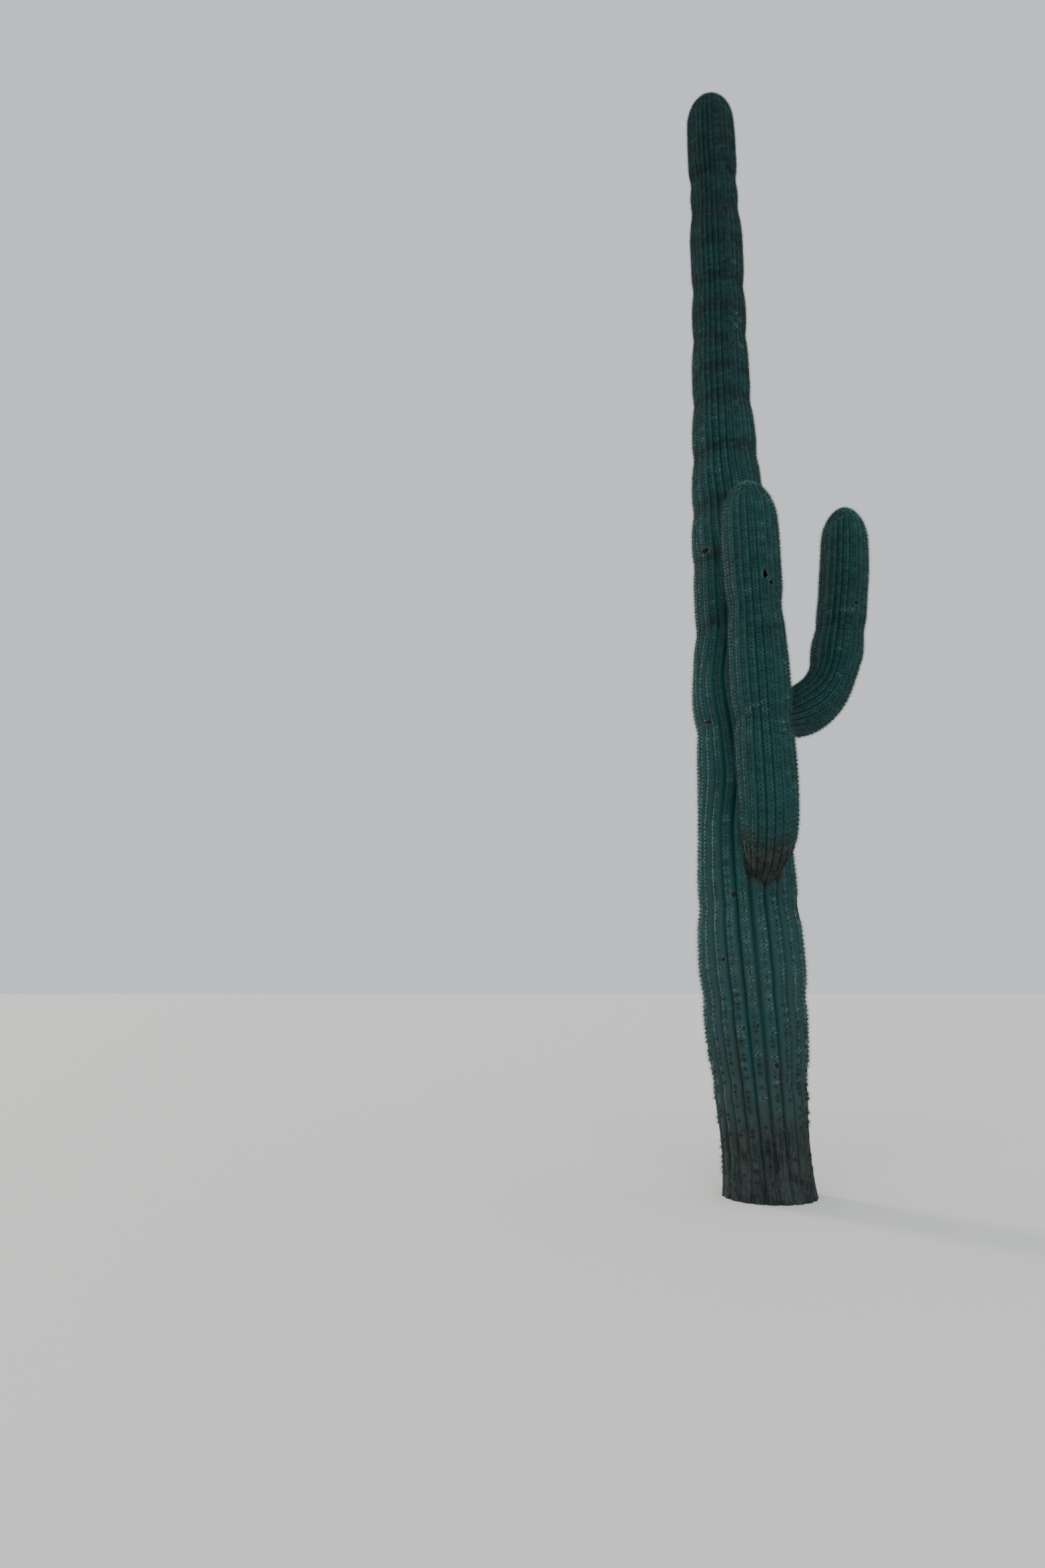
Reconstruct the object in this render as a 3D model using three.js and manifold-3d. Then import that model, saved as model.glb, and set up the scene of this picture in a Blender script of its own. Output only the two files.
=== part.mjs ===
// A saguaro cactus: one ribbed trunk that tapers and leans, and two ribbed arms that bend up.
// Millimetres, +Z up. The origin is the middle of the trunk's flat cut at ground level.
// From the front, +X is to the right and +Y is away, so the front arm stands towards -Y.

import * as THREE from "three";
import { mergeVertices } from "three/addons/utils/BufferGeometryUtils.js";
import Module from "manifold-3d";

const wasm = await Module();
wasm.setup();

const fullTurn = 2 * Math.PI;

// Trunk: height, dome, crest radius by height, sideways lean by height
const trunkHeight = 8110;
const trunkDome = 210;
const trunkRadii = [
  [0, 306], [160, 288], [420, 287], [800, 318], [1400, 348], [2000, 326], [2500, 301],
  [2950, 290], [3250, 305], [3450, 293], [3750, 268], [4000, 262], [4350, 265],
  [5000, 238], [5500, 213], [6000, 201], [6600, 192], [6850, 193], [7200, 178],
  [7650, 180], [8110, 165],
];
const trunkLean = [
  [0, 0], [800, -36], [2100, -68], [5000, -97], [5700, -106], [6400, -98],
  [7250, -102], [8110, -112],
];

// Growth waists of the trunk: heights, how far each draws in, half its height
const trunkWaists = [
  720, 1240, 1820, 3020, 3740, 4240, 4640, 5060, 5500, 6030, 6430, 7100, 7350,
];
const waistPinch = 13;
const waistReach = 85;
const trunkFootStations = [0, 160, 420];
const ringsPerWaist = 3;

// Trunk ribs: count at the foot, groove depth by height, and how far the ribs drift round
const trunkFootRibs = 21;
const trunkNewRibs = [[2, 2300], [5, 3300], [9, 2700], [12, 4200], [16, 3000], [19, 4600]];
const trunkGrooves = [[0, 16], [500, 34], [1500, 46], [3000, 40], [5000, 30], [8110, 24]];
const trunkDrift = THREE.MathUtils.degToRad(9);
const trunkDriftTop = 2300;

// Every rib: its groove and the two shoulders of its crest, as share of width and of depth
const ribSection = [[0, 0], [0.33, 1], [0.67, 1]];
const newRibWidth = 0.05;
const newRibLength = 420;

// Rings of a dome, as angles from its edge to its tip
const domeSteps = [0, 25, 47, 67, 83].map((step) => THREE.MathUtils.degToRad(step));

// Spaces between neighbouring pieces
const fitGap = 0.3;
const grooveFitGap = 2 * fitGap;

// Arms: each leaves the trunk at a height and azimuth, runs straight for its lead, then
// bends from its first slope to upright. Lists go by distance along the arm.
const frontArm = {
  name: "front_arm",
  azimuth: -90,
  rootReach: 200,
  rootHeight: 2022,
  lead: 90,
  bend: 650,
  slopes: [25, 90, 90],
  length: 2730,
  split: 790,
  sideways: [[0, 52], [250, 48], [560, 32], [1190, 14], [2040, -8], [2730, -20]],
  radii: [
    [0, 112], [170, 129], [270, 154], [380, 171], [500, 181], [780, 188], [1100, 187],
    [1480, 190], [1750, 181], [2100, 185], [2400, 185], [2730, 170],
  ],
  grooves: [[0, 8], [200, 12], [500, 24], [1200, 27], [2730, 23]],
  dome: 250,
  waists: [1130, 1870],
  footRibs: 20,
  newRibs: [[7, 560], [14, 1500]],
};
const rightArm = {
  name: "right_arm",
  azimuth: 5,
  rootReach: 185,
  rootHeight: 3098,
  lead: 80,
  bend: 740,
  slopes: [15, 78.5, 89.5],
  length: 1910,
  split: 830,
  sideways: [[0, 0], [1910, 0]],
  radii: [
    [0, 104], [120, 132], [215, 166], [320, 179], [480, 171], [650, 162], [830, 180],
    [1010, 177], [1200, 169], [1390, 171], [1670, 163], [1910, 153],
  ],
  grooves: [[0, 8], [200, 16], [450, 24], [1000, 27], [1910, 23]],
  dome: 245,
  waists: [980],
  footRibs: 22,
  newRibs: [],
};
const columnStation = 150;
const bendStation = 90;

// Colours of the skin, and of the corky skin at the arms' feet
const skinMaterial = new THREE.MeshStandardMaterial({
  color: 0x2f5a50,
  roughness: 0.62,
  metalness: 0,
});
const footMaterial = new THREE.MeshStandardMaterial({
  color: 0x4a4a3c,
  roughness: 0.85,
  metalness: 0,
});

// A smooth line through named [place, value] pairs
function along(pairs, place) {
  const last = pairs.length - 1;
  const at = (index) => pairs[Math.min(Math.max(index, 0), last)];
  let step = 0;
  while (step < last - 1 && place > pairs[step + 1][0]) {
    step += 1;
  }
  const [start, startValue] = pairs[step];
  const [end, endValue] = pairs[step + 1];
  const slope = (index) =>
    (at(index + 1)[1] - at(index - 1)[1]) / (at(index + 1)[0] - at(index - 1)[0]);
  const span = end - start;
  const share = THREE.MathUtils.clamp((place - start) / span, 0, 1);
  const square = share * share;
  const cube = square * share;
  return (
    startValue * (2 * cube - 3 * square + 1) +
    endValue * (3 * square - 2 * cube) +
    slope(step) * span * (cube - 2 * square + share) +
    slope(step + 1) * span * (cube - square)
  );
}

// How far the waists draw the skin in at a place along the stem
function waistDraw(waists, place) {
  const draw = (waist) => waistPinch * Math.exp(-(((place - waist) / waistReach) ** 2));
  return waists.reduce((sum, waist) => sum + draw(waist), 0);
}

// Width shares of the ribs at a place. A new rib widens from almost nothing to a full share.
function ribShares(footRibs, newRibs, place) {
  const shares = [];
  for (let rib = 0; rib < footRibs; rib += 1) {
    shares.push(1);
    for (const [follows, start] of newRibs) {
      if (follows === rib) {
        const grown = THREE.MathUtils.smoothstep(place, start, start + newRibLength);
        shares.push(newRibWidth + (1 - newRibWidth) * grown);
      }
    }
  }
  return shares;
}

// One ring of points round a stem, in the plane of its across and side directions
function ribbedRing({ centre, across, side, radius, groove, shares, turn }) {
  const whole = shares.reduce((sum, share) => sum + share, 0);
  const ring = [];
  let before = 0;
  for (const share of shares) {
    for (const [place, rise] of ribSection) {
      const angle = turn + (fullTurn * (before + share * place)) / whole;
      const reach = radius - groove * (1 - rise * share);
      const point = centre.clone();
      point.addScaledVector(across, reach * Math.cos(angle));
      point.addScaledVector(side, reach * Math.sin(angle));
      ring.push(point);
    }
    before += share;
  }
  return ring;
}

// A closed skin over a stack of rings: a flat cap at the foot, and at the top either a flat
// cap or the tip of a dome
function stemGeometry(rings, footCentre, topCentre) {
  const count = rings[0].length;
  const positions = [footCentre, ...rings.flat(), topCentre].flatMap((p) => p.toArray());
  const top = 1 + rings.length * count;
  const lastRing = top - count;
  const index = [];
  for (let i = 0; i < count; i += 1) {
    const next = (i + 1) % count;
    index.push(0, 1 + next, 1 + i);
    index.push(top, lastRing + i, lastRing + next);
    for (let ring = 0; ring < rings.length - 1; ring += 1) {
      const low = 1 + ring * count;
      const high = low + count;
      index.push(low + i, low + next, high + next);
      index.push(low + i, high + next, high + i);
    }
  }
  const geometry = new THREE.BufferGeometry();
  geometry.setAttribute("position", new THREE.Float32BufferAttribute(positions, 3));
  geometry.setIndex(index);
  return geometry;
}

// A geometry as a solid that can be cut, and back again
function toSolid(geometry) {
  const merged = mergeVertices(geometry);
  const mesh = new wasm.Mesh({
    numProp: 3,
    vertProperties: new Float32Array(merged.attributes.position.array),
    triVerts: new Uint32Array(merged.index.array),
  });
  return new wasm.Manifold(mesh);
}

function toGeometry(solid) {
  const mesh = solid.getMesh();
  const geometry = new THREE.BufferGeometry();
  geometry.setAttribute("position", new THREE.BufferAttribute(mesh.vertProperties, 3));
  geometry.setIndex(new THREE.BufferAttribute(mesh.triVerts, 1));
  return geometry;
}

function namedMesh(name, geometry, material) {
  const flat = geometry.toNonIndexed();
  flat.computeVertexNormals();
  const mesh = new THREE.Mesh(flat, material);
  mesh.name = name;
  return mesh;
}

// Trunk: rings stand level, at the foot, at each waist and in between
function trunkStations() {
  const marks = [...trunkWaists, trunkHeight - trunkDome];
  const heights = [...trunkFootStations];
  for (let mark = 0; mark < trunkWaists.length; mark += 1) {
    const step = (marks[mark + 1] - marks[mark]) / ringsPerWaist;
    for (let ring = 0; ring < ringsPerWaist; ring += 1) {
      heights.push(marks[mark] + step * ring);
    }
  }
  return heights;
}

function trunkRing(height, radius, groove) {
  const upright = THREE.MathUtils.smoothstep(height, 0, trunkDriftTop);
  return ribbedRing({
    centre: new THREE.Vector3(along(trunkLean, height), 0, height),
    across: new THREE.Vector3(0, 1, 0),
    side: new THREE.Vector3(-1, 0, 0),
    radius,
    groove,
    shares: ribShares(trunkFootRibs, trunkNewRibs, height),
    turn: trunkDrift * (1 - upright),
  });
}

function trunkGeometry(extra) {
  const rings = trunkStations().map((height) => {
    const radius = along(trunkRadii, height) - waistDraw(trunkWaists, height) + extra;
    return trunkRing(height, radius, along(trunkGrooves, height));
  });
  for (const step of domeSteps) {
    const height = trunkHeight - trunkDome * (1 - Math.sin(step));
    const swell = Math.cos(step);
    const radius = along(trunkRadii, height) * swell + extra;
    rings.push(trunkRing(height, radius, along(trunkGrooves, height) * swell));
  }
  const foot = new THREE.Vector3(along(trunkLean, 0), 0, 0);
  const tip = new THREE.Vector3(along(trunkLean, trunkHeight), 0, trunkHeight + extra);
  return stemGeometry(rings, foot, tip);
}

// Arms: the slope of the axis by distance, and the axis itself as a sum of short steps
function armSlope(arm, distance) {
  const [first, upright, tip] = arm.slopes;
  const bent = THREE.MathUtils.smoothstep(distance, arm.lead, arm.lead + arm.bend);
  const rest = Math.max(distance - arm.lead - arm.bend, 0);
  const drawn = rest / (arm.length - arm.lead - arm.bend);
  return THREE.MathUtils.degToRad(first + (upright - first) * bent + (tip - upright) * drawn);
}

function armFrame(arm, distance) {
  const stepLength = 5;
  const azimuth = THREE.MathUtils.degToRad(arm.azimuth);
  const outward = new THREE.Vector3(Math.cos(azimuth), Math.sin(azimuth), 0);
  const side = new THREE.Vector3(-Math.sin(azimuth), Math.cos(azimuth), 0);
  let reach = arm.rootReach;
  let height = arm.rootHeight;
  let walked = 0;
  while (walked < distance) {
    const step = Math.min(stepLength, distance - walked);
    const slope = armSlope(arm, walked + step / 2);
    reach += step * Math.cos(slope);
    height += step * Math.sin(slope);
    walked += step;
  }
  const centre = new THREE.Vector3(along(trunkLean, arm.rootHeight), 0, height);
  centre.addScaledVector(outward, reach);
  centre.addScaledVector(side, along(arm.sideways, distance));
  const slope = armSlope(arm, distance);
  const across = outward.clone().multiplyScalar(Math.sin(slope));
  across.z = -Math.cos(slope);
  return { centre, across, side };
}

function armRing(arm, distance, swell) {
  const radius = along(arm.radii, distance) - waistDraw(arm.waists, distance);
  return ribbedRing({
    ...armFrame(arm, distance),
    radius: radius * swell,
    groove: along(arm.grooves, distance) * swell,
    shares: ribShares(arm.footRibs, arm.newRibs, distance),
    turn: 0,
  });
}

function armStations(from, to, spacing) {
  const count = Math.ceil((to - from) / spacing);
  return Array.from({ length: count + 1 }, (unused, i) => from + ((to - from) * i) / count);
}

// The foot of an arm: from inside the trunk to the split above its bend, cut to the trunk
function armFoot(arm, trunkCutter) {
  const rings = armStations(0, arm.split, bendStation).map((place) => armRing(arm, place, 1));
  const root = armFrame(arm, 0).centre;
  const end = armFrame(arm, arm.split).centre;
  const solid = toSolid(stemGeometry(rings, root, end)).subtract(trunkCutter);
  return namedMesh(`${arm.name}_foot`, toGeometry(solid), footMaterial);
}

// The column of an arm: from just above the split to the tip of its dome
function armColumn(arm) {
  const start = arm.split + fitGap;
  const domeStart = arm.length - arm.dome;
  const rings = armStations(start, domeStart, columnStation).slice(0, -1)
    .map((place) => armRing(arm, place, 1));
  for (const step of domeSteps) {
    rings.push(armRing(arm, domeStart + arm.dome * Math.sin(step), Math.cos(step)));
  }
  const foot = armFrame(arm, start).centre;
  const tip = armFrame(arm, arm.length).centre;
  return namedMesh(`${arm.name}_column`, stemGeometry(rings, foot, tip), skinMaterial);
}

const saguaro = new THREE.Group();
saguaro.add(namedMesh("trunk", trunkGeometry(0), skinMaterial));
const trunkCutter = toSolid(trunkGeometry(grooveFitGap));
for (const arm of [frontArm, rightArm]) {
  saguaro.add(armFoot(arm, trunkCutter), armColumn(arm));
}

export default saguaro;
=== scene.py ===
import math
import bpy
import numpy as np
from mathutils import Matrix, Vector, noise


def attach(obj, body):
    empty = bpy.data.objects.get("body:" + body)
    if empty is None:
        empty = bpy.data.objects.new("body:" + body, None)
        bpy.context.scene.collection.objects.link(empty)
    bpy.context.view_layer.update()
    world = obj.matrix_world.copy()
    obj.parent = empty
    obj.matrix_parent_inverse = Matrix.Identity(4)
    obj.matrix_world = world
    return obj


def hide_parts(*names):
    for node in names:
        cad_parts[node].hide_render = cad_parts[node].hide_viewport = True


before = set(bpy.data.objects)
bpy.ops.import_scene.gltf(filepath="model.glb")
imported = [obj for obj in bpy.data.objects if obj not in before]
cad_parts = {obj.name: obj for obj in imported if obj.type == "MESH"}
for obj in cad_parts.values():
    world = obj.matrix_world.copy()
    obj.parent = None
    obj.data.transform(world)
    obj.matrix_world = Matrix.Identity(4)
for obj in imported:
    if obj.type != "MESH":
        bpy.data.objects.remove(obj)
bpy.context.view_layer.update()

rng = np.random.default_rng(41)  # every random draw comes from here, so each run is the same

# Growth rule: how the ribs, waists and domes of trunk and arms are laid out, in metres.
# Pairs are a length along the stem and the value there.
trunk = {
    "name": "trunk",
    "length": 8.11, "dome": 0.21,  # foot to tip along the axis, and how much of it is dome
    "radii": [
        (0, 0.306), (0.16, 0.288), (0.42, 0.287), (0.8, 0.318), (1.4, 0.348), (2.0, 0.326),
        (2.5, 0.301), (2.95, 0.290), (3.25, 0.305), (3.45, 0.293), (3.75, 0.268),
        (4.0, 0.262), (4.35, 0.265), (5.0, 0.238), (5.5, 0.213), (6.0, 0.201),
        (6.6, 0.192), (6.85, 0.193), (7.2, 0.178), (7.65, 0.180), (8.11, 0.165),
    ],
    "lean": [(0, 0), (0.8, -0.036), (2.1, -0.068), (5.0, -0.097), (5.7, -0.106), (6.4, -0.098),
             (7.25, -0.102), (8.11, -0.112)],
    "grooves": [(0, 0.016), (0.5, 0.030), (1.5, 0.038), (3.0, 0.033), (5.0, 0.025), (8.11, 0.020)],
    "waists": [0.72, 1.24, 1.82, 3.02, 3.74, 4.24, 4.64, 5.06, 5.50, 6.03, 6.43, 7.10, 7.35],
    "bands": [3.74, 4.24, 4.64, 5.06, 5.46, 5.69, 5.94, 6.19, 6.44, 6.77, 6.98, 7.38, 7.61],
    "bandDark": 0.7,  # how far the skin darkens in the bands
    "footRibs": 21,
    # each new rib: which of the foot's ribs it follows, and the length it starts at
    "newRibs": [(2, 2.3), (5, 3.3), (9, 2.7), (12, 4.2), (16, 3.0), (19, 4.6)],
    "drift": math.radians(9), "driftTop": 2.3,  # the ribs turn this far between ground and top
    "rows": 418, "columnsPerRib": 8,  # faces up the stem and across each rib
}
frontArm = {
    "name": "front_arm", "azimuth": math.radians(-90),
    "rootReach": 0.200, "rootHeight": 2.022,  # where it starts, from the trunk's axis
    "lead": 0.09, "bend": 0.65,  # its straight start, and the length of the bend after it
    "slopes": (25, 90, 90),  # degrees: at the root, above the bend, at the tip
    "length": 2.73, "dome": 0.25,
    "sideways": [(0, 0.052), (0.25, 0.048), (0.56, 0.032), (1.19, 0.014), (2.04, -0.008),
                 (2.73, -0.020)],
    "radii": [
        (0, 0.112), (0.17, 0.129), (0.27, 0.154), (0.38, 0.171), (0.5, 0.181), (0.78, 0.188),
        (1.1, 0.187), (1.48, 0.190), (1.75, 0.181), (2.1, 0.185), (2.4, 0.185), (2.73, 0.170),
    ],
    "grooves": [(0, 0.008), (0.2, 0.012), (0.5, 0.020), (1.2, 0.022), (2.73, 0.019)],
    "waists": [1.13, 1.87], "bands": [1.13, 1.66, 2.14], "bandDark": 0.35,
    "footRibs": 20, "newRibs": [(7, 0.56), (14, 1.5)],
    "rows": 250, "columnsPerRib": 10,
}
rightArm = {
    "name": "right_arm", "azimuth": math.radians(5),
    "rootReach": 0.185, "rootHeight": 3.098, "lead": 0.08, "bend": 0.74,
    "slopes": (15, 78.5, 89.5),
    "length": 1.91, "dome": 0.245,
    "sideways": [(0, 0), (1.91, 0)],
    "radii": [
        (0, 0.104), (0.12, 0.132), (0.215, 0.166), (0.32, 0.179), (0.48, 0.171),
        (0.65, 0.162), (0.83, 0.180), (1.01, 0.177), (1.2, 0.169), (1.39, 0.171),
        (1.67, 0.163), (1.91, 0.153),
    ],
    "grooves": [(0, 0.008), (0.2, 0.015), (0.45, 0.021), (1.0, 0.022), (1.91, 0.019)],
    "waists": [0.98], "bands": [0.98, 1.29], "bandDark": 0.3,
    "footRibs": 22, "newRibs": [],
    "rows": 190, "columnsPerRib": 10,
}
growth = {
    "inset": 0.006,  # the skin lies this far inside the outline, which the spines fill out
    "waistPinch": 0.013, "waistReach": 0.085,
    "newRibWidth": 0.05, "newRibLength": 0.42,
    "crestRound": 0.5,  # lower makes broader crests and sharper grooves
    "ribSway": 0.03, "crestSwell": 0.0028,  # how unevenly the ribs grow
    "waves": ((2.1, 1), (5.3, 0.6), (11.7, 0.4)),  # rate along the stem and share of each
    "bandReach": 0.058,
    "bandSway": 0.035, "bandSwayScale": 4.5,  # how far the dark bands stray up and down
    "bandPatches": ((3.1, 1), (11, 0.6)), "bandGaps": (-0.75, 0.0),  # where they break up
    "bandsFrom": (2.2, 4.2),  # heights over which the bands set in
    "pathStep": 0.005, "pathSpare": 0.1,  # steps along an arm's bend, and how far past its tip
    "probe": 0.004, "probeRib": 0.05,  # how near the points are that give the skin's directions
}


def along(pairs, place):  # a smooth line through (place, value) pairs, for an array of places
    xs = np.array([p[0] for p in pairs], float)
    ys = np.array([p[1] for p in pairs], float)
    slopes = np.empty(len(xs))
    slopes[1:-1] = (ys[2:] - ys[:-2]) / (xs[2:] - xs[:-2])
    slopes[0] = (ys[1] - ys[0]) / (xs[1] - xs[0])
    slopes[-1] = (ys[-1] - ys[-2]) / (xs[-1] - xs[-2])
    step = np.clip(np.searchsorted(xs, place) - 1, 0, len(xs) - 2)
    span = xs[step + 1] - xs[step]
    t = np.clip((place - xs[step]) / span, 0, 1)
    return (ys[step] * (2 * t**3 - 3 * t**2 + 1) + ys[step + 1] * (3 * t**2 - 2 * t**3)
            + slopes[step] * span * (t**3 - 2 * t**2 + t)
            + slopes[step + 1] * span * (t**3 - t**2))


def alongAt(pairs, place):  # the same for one place
    return float(along(pairs, np.array([place]))[0])


def unit(vectors):  # the same directions, each 1 long
    return vectors / (np.linalg.norm(vectors, axis=-1, keepdims=True) + 1e-12)


def rough(points, scale, depth):  # small random relief, one value for each point
    return np.array([noise.noise(Vector(p) * scale) for p in points]) * depth


def ease(low, high, value):  # 0 at low, 1 at high, smooth between
    t = np.clip((value - low) / (high - low), 0, 1)
    return t * t * (3 - 2 * t)


def startStem(stem):  # what the growth rule needs to know about a stem before it is used
    slots = []  # start height of each rib, in order round the stem; None is there from the foot
    for rib in range(stem["footRibs"]):
        slots.append(None)
        slots += [start for follows, start in stem["newRibs"] if follows == rib]
    stem["slots"] = slots
    count = len(slots)
    stem["sway"] = rng.uniform(0, 2 * math.pi, (count, 3))
    stem["swell"] = rng.uniform(0, 2 * math.pi, (count, 3))
    stem["domeStart"] = stem["length"] - stem["dome"]
    end = alongAt(stem["radii"], stem["domeStart"])
    stem["domeArc"] = math.pi / 2 * math.sqrt((end**2 + stem["dome"] ** 2) / 2)
    stem["top"] = stem["domeStart"] + stem["domeArc"]  # length over the skin, foot to tip
    if "azimuth" not in stem:
        return
    step = growth["pathStep"]
    middles = np.arange(step / 2, stem["length"] + growth["pathSpare"], step)
    slope = armSlope(stem, middles)
    zero = np.zeros(1)
    stem["pathAt"] = np.concatenate((zero, middles + step / 2))
    gone = np.concatenate((zero, np.cumsum(step * np.cos(slope))))
    risen = np.concatenate((zero, np.cumsum(step * np.sin(slope))))
    stem["pathReach"] = stem["rootReach"] + gone
    stem["pathHeight"] = stem["rootHeight"] + risen


def armSlope(stem, place):  # how steeply an arm rises at each place
    first, upright, tip = stem["slopes"]
    bent = ease(stem["lead"], stem["lead"] + stem["bend"], place)
    rest = np.maximum(place - stem["lead"] - stem["bend"], 0)
    drawn = rest / (stem["length"] - stem["lead"] - stem["bend"])
    return np.radians(first + (upright - first) * bent + (tip - upright) * drawn)


def stemAxis(stem, place):  # centre and the two directions of the ring at each place
    ones, zeros = np.ones_like(place), np.zeros_like(place)
    if "azimuth" not in stem:
        centre = np.stack((along(stem["lean"], place), zeros, place), -1)
        return centre, np.stack((zeros, ones, zeros), -1), np.stack((-ones, zeros, zeros), -1)
    outward = np.array((math.cos(stem["azimuth"]), math.sin(stem["azimuth"]), 0))
    side = np.array((-math.sin(stem["azimuth"]), math.cos(stem["azimuth"]), 0))
    reach = np.interp(place, stem["pathAt"], stem["pathReach"])
    height = np.interp(place, stem["pathAt"], stem["pathHeight"])
    centre = reach[..., None] * outward + along(stem["sideways"], place)[..., None] * side
    centre[..., 0] += alongAt(trunk["lean"], stem["rootHeight"])
    centre[..., 2] = height
    slope = armSlope(stem, place)
    across = np.sin(slope)[..., None] * outward
    across[..., 2] = -np.cos(slope)
    return centre, across, np.broadcast_to(side, across.shape)


def ribShares(stem, place):  # width share of every rib at every place
    shares = np.ones(place.shape + (len(stem["slots"]),))
    for slot, start in enumerate(stem["slots"]):
        if start is not None:
            grown = ease(start, start + growth["newRibLength"], place)
            shares[..., slot] = growth["newRibWidth"] + (1 - growth["newRibWidth"]) * grown
    return shares


def waves(phases, place):  # slow uneven growth, from -1 to 1
    return sum(share * np.sin(place * rate + phases[..., k])
               for k, (rate, share) in enumerate(growth["waves"])) / 2


def waistAt(stem, place):  # 1 in the narrowest part of each waist
    pull = np.zeros_like(place)
    for waist in stem["waists"]:
        pull += np.exp(-(((place - waist) / growth["waistReach"]) ** 2))
    return pull


def bandAt(stem, place, points):  # dark, broken bands where a season's growth ended
    stray = rough(points, growth["bandSwayScale"], growth["bandSway"])
    dark = np.zeros_like(place)
    for band in stem["bands"]:
        dark += np.exp(-(((place + stray - band) / growth["bandReach"]) ** 2))
    patch = sum(rough(points, scale, share) for scale, share in growth["bandPatches"])
    return (stem["bandDark"] * np.clip(dark, 0, 1) * ease(*growth["bandGaps"], patch)
            * ease(*growth["bandsFrom"], points[:, 2]))


def stemPoint(stem, over, rib):  # the skin at a length over the skin and a place round the ribs
    dome = np.clip((over - stem["domeStart"]) / stem["domeArc"], 0, 1) * math.pi / 2
    place = (np.minimum(over, stem["domeStart"])
             + (stem["dome"] - growth["inset"]) * np.sin(dome))
    count = len(stem["slots"])
    slot = np.floor(rib).astype(int) % count
    part = rib - np.floor(rib)
    shares = ribShares(stem, place)
    starts = np.cumsum(shares, -1) - shares
    pick = np.indices(place.shape)
    share = shares[(*pick, slot)]
    start = starts[(*pick, slot)]
    following = (slot + 1) % count
    lower = growth["ribSway"] * share * waves(stem["sway"][slot], place)
    upper = growth["ribSway"] * share * waves(stem["sway"][following], place)
    turned = start + share * part + lower * (1 - part) + upper * part
    angle = 2 * math.pi * turned / shares.sum(-1)
    if "drift" in stem:
        angle = angle + stem["drift"] * (1 - ease(0, stem["driftTop"], place))
    rise = np.sin(math.pi * np.clip(part, 0, 1)) ** growth["crestRound"]
    groove = along(stem["grooves"], place)
    pinch = growth["waistPinch"] * waistAt(stem, place)
    reach = along(stem["radii"], place) - growth["inset"] - pinch - groove * (1 - rise * share)
    reach = reach + growth["crestSwell"] * rise * share * waves(stem["swell"][slot], place)
    reach = np.maximum(reach * np.cos(dome), 0)
    centre, across, side = stemAxis(stem, place)
    return (centre + (reach * np.cos(angle))[..., None] * across
            + (reach * np.sin(angle))[..., None] * side)


def stemFrame(stem, over, rib):  # the skin, and its outward, upward and sideways directions
    near, nearRib = growth["probe"], growth["probeRib"]
    point = stemPoint(stem, over, rib)
    upward = unit(stemPoint(stem, over + near, rib) - stemPoint(stem, over - near, rib))
    sideways = stemPoint(stem, over, rib + nearRib) - stemPoint(stem, over, rib - nearRib)
    outward = unit(np.cross(sideways, upward))
    return point, outward, upward, np.cross(upward, outward)


arms = (frontArm, rightArm)
stems = (trunk, *arms)
for stem in stems:
    startStem(stem)
print("growth rule ready")

# Marks on the skin: holes, dents and scars, by height and bearing round the stem's axis.
# A size is half the width and half the height.
# dark: how dark a mark is coloured, which is dark scar tissue and also painted shade inside the
# deeper holes
marks = [
    {"stem": trunk, "at": (4.29, -146), "size": (0.048, 0.017), "deep": 0.010, "dark": 0.75},
    {"stem": trunk, "at": (3.06, -153), "size": (0.045, 0.014), "deep": 0.008, "dark": 0.75},
    {"stem": trunk, "at": (1.81, -22), "size": (0.012, 0.085), "deep": 0.010, "dark": 0.8},
    {"stem": trunk, "at": (1.89, -118), "size": (0.016, 0.022), "deep": 0.005, "dark": 0.5},
    {"stem": trunk, "at": (1.48, -134), "size": (0.013, 0.018), "deep": 0.006, "dark": 0.6},
    {"stem": trunk, "at": (1.05, -116), "size": (0.012, 0.016), "deep": 0.006, "dark": 0.6},
    {"stem": trunk, "at": (1.06, -100), "size": (0.011, 0.015), "deep": 0.006, "dark": 0.5},
    {"stem": trunk, "at": (0.83, -81), "size": (0.017, 0.021), "deep": 0.009, "dark": 0.7},
    {"stem": frontArm, "at": (3.862, -77), "size": (0.017, 0.031), "deep": 0.040, "dark": 1.0},
    {"stem": frontArm, "at": (3.808, -64), "size": (0.012, 0.020), "deep": 0.020, "dark": 0.8},
    {"stem": rightArm, "at": (3.938, -69), "size": (0.013, 0.016), "deep": 0.012, "dark": 0.8},
]
# The far side, which the photo hides, carries a few like them
farMarks = {  # how many on each stem, between which heights
    "trunk": (7, 0.7, 6.6), "front_arm": (2, 2.7, 4.1), "right_arm": (2, 3.7, 4.4),
    "stray": 0.15, "bearing": (20, 160),
    "wide": (0.010, 0.024), "tall": (0.010, 0.022), "deep": (0.004, 0.010), "dark": (0.5, 0.8),
}
markFit = {"inward": 0.09, "rows": 500, "perRib": 40}  # reach inwards, and how finely to search
for stem in stems:
    count, low, high = farMarks[stem["name"]]
    for height in np.linspace(low, high, count):
        strayed = height + rng.uniform(-farMarks["stray"], farMarks["stray"])
        marks.append({
            "stem": stem, "at": (strayed, rng.uniform(*farMarks["bearing"])),
            "size": (rng.uniform(*farMarks["wide"]), rng.uniform(*farMarks["tall"])),
            "deep": rng.uniform(*farMarks["deep"]), "dark": rng.uniform(*farMarks["dark"])})


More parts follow.
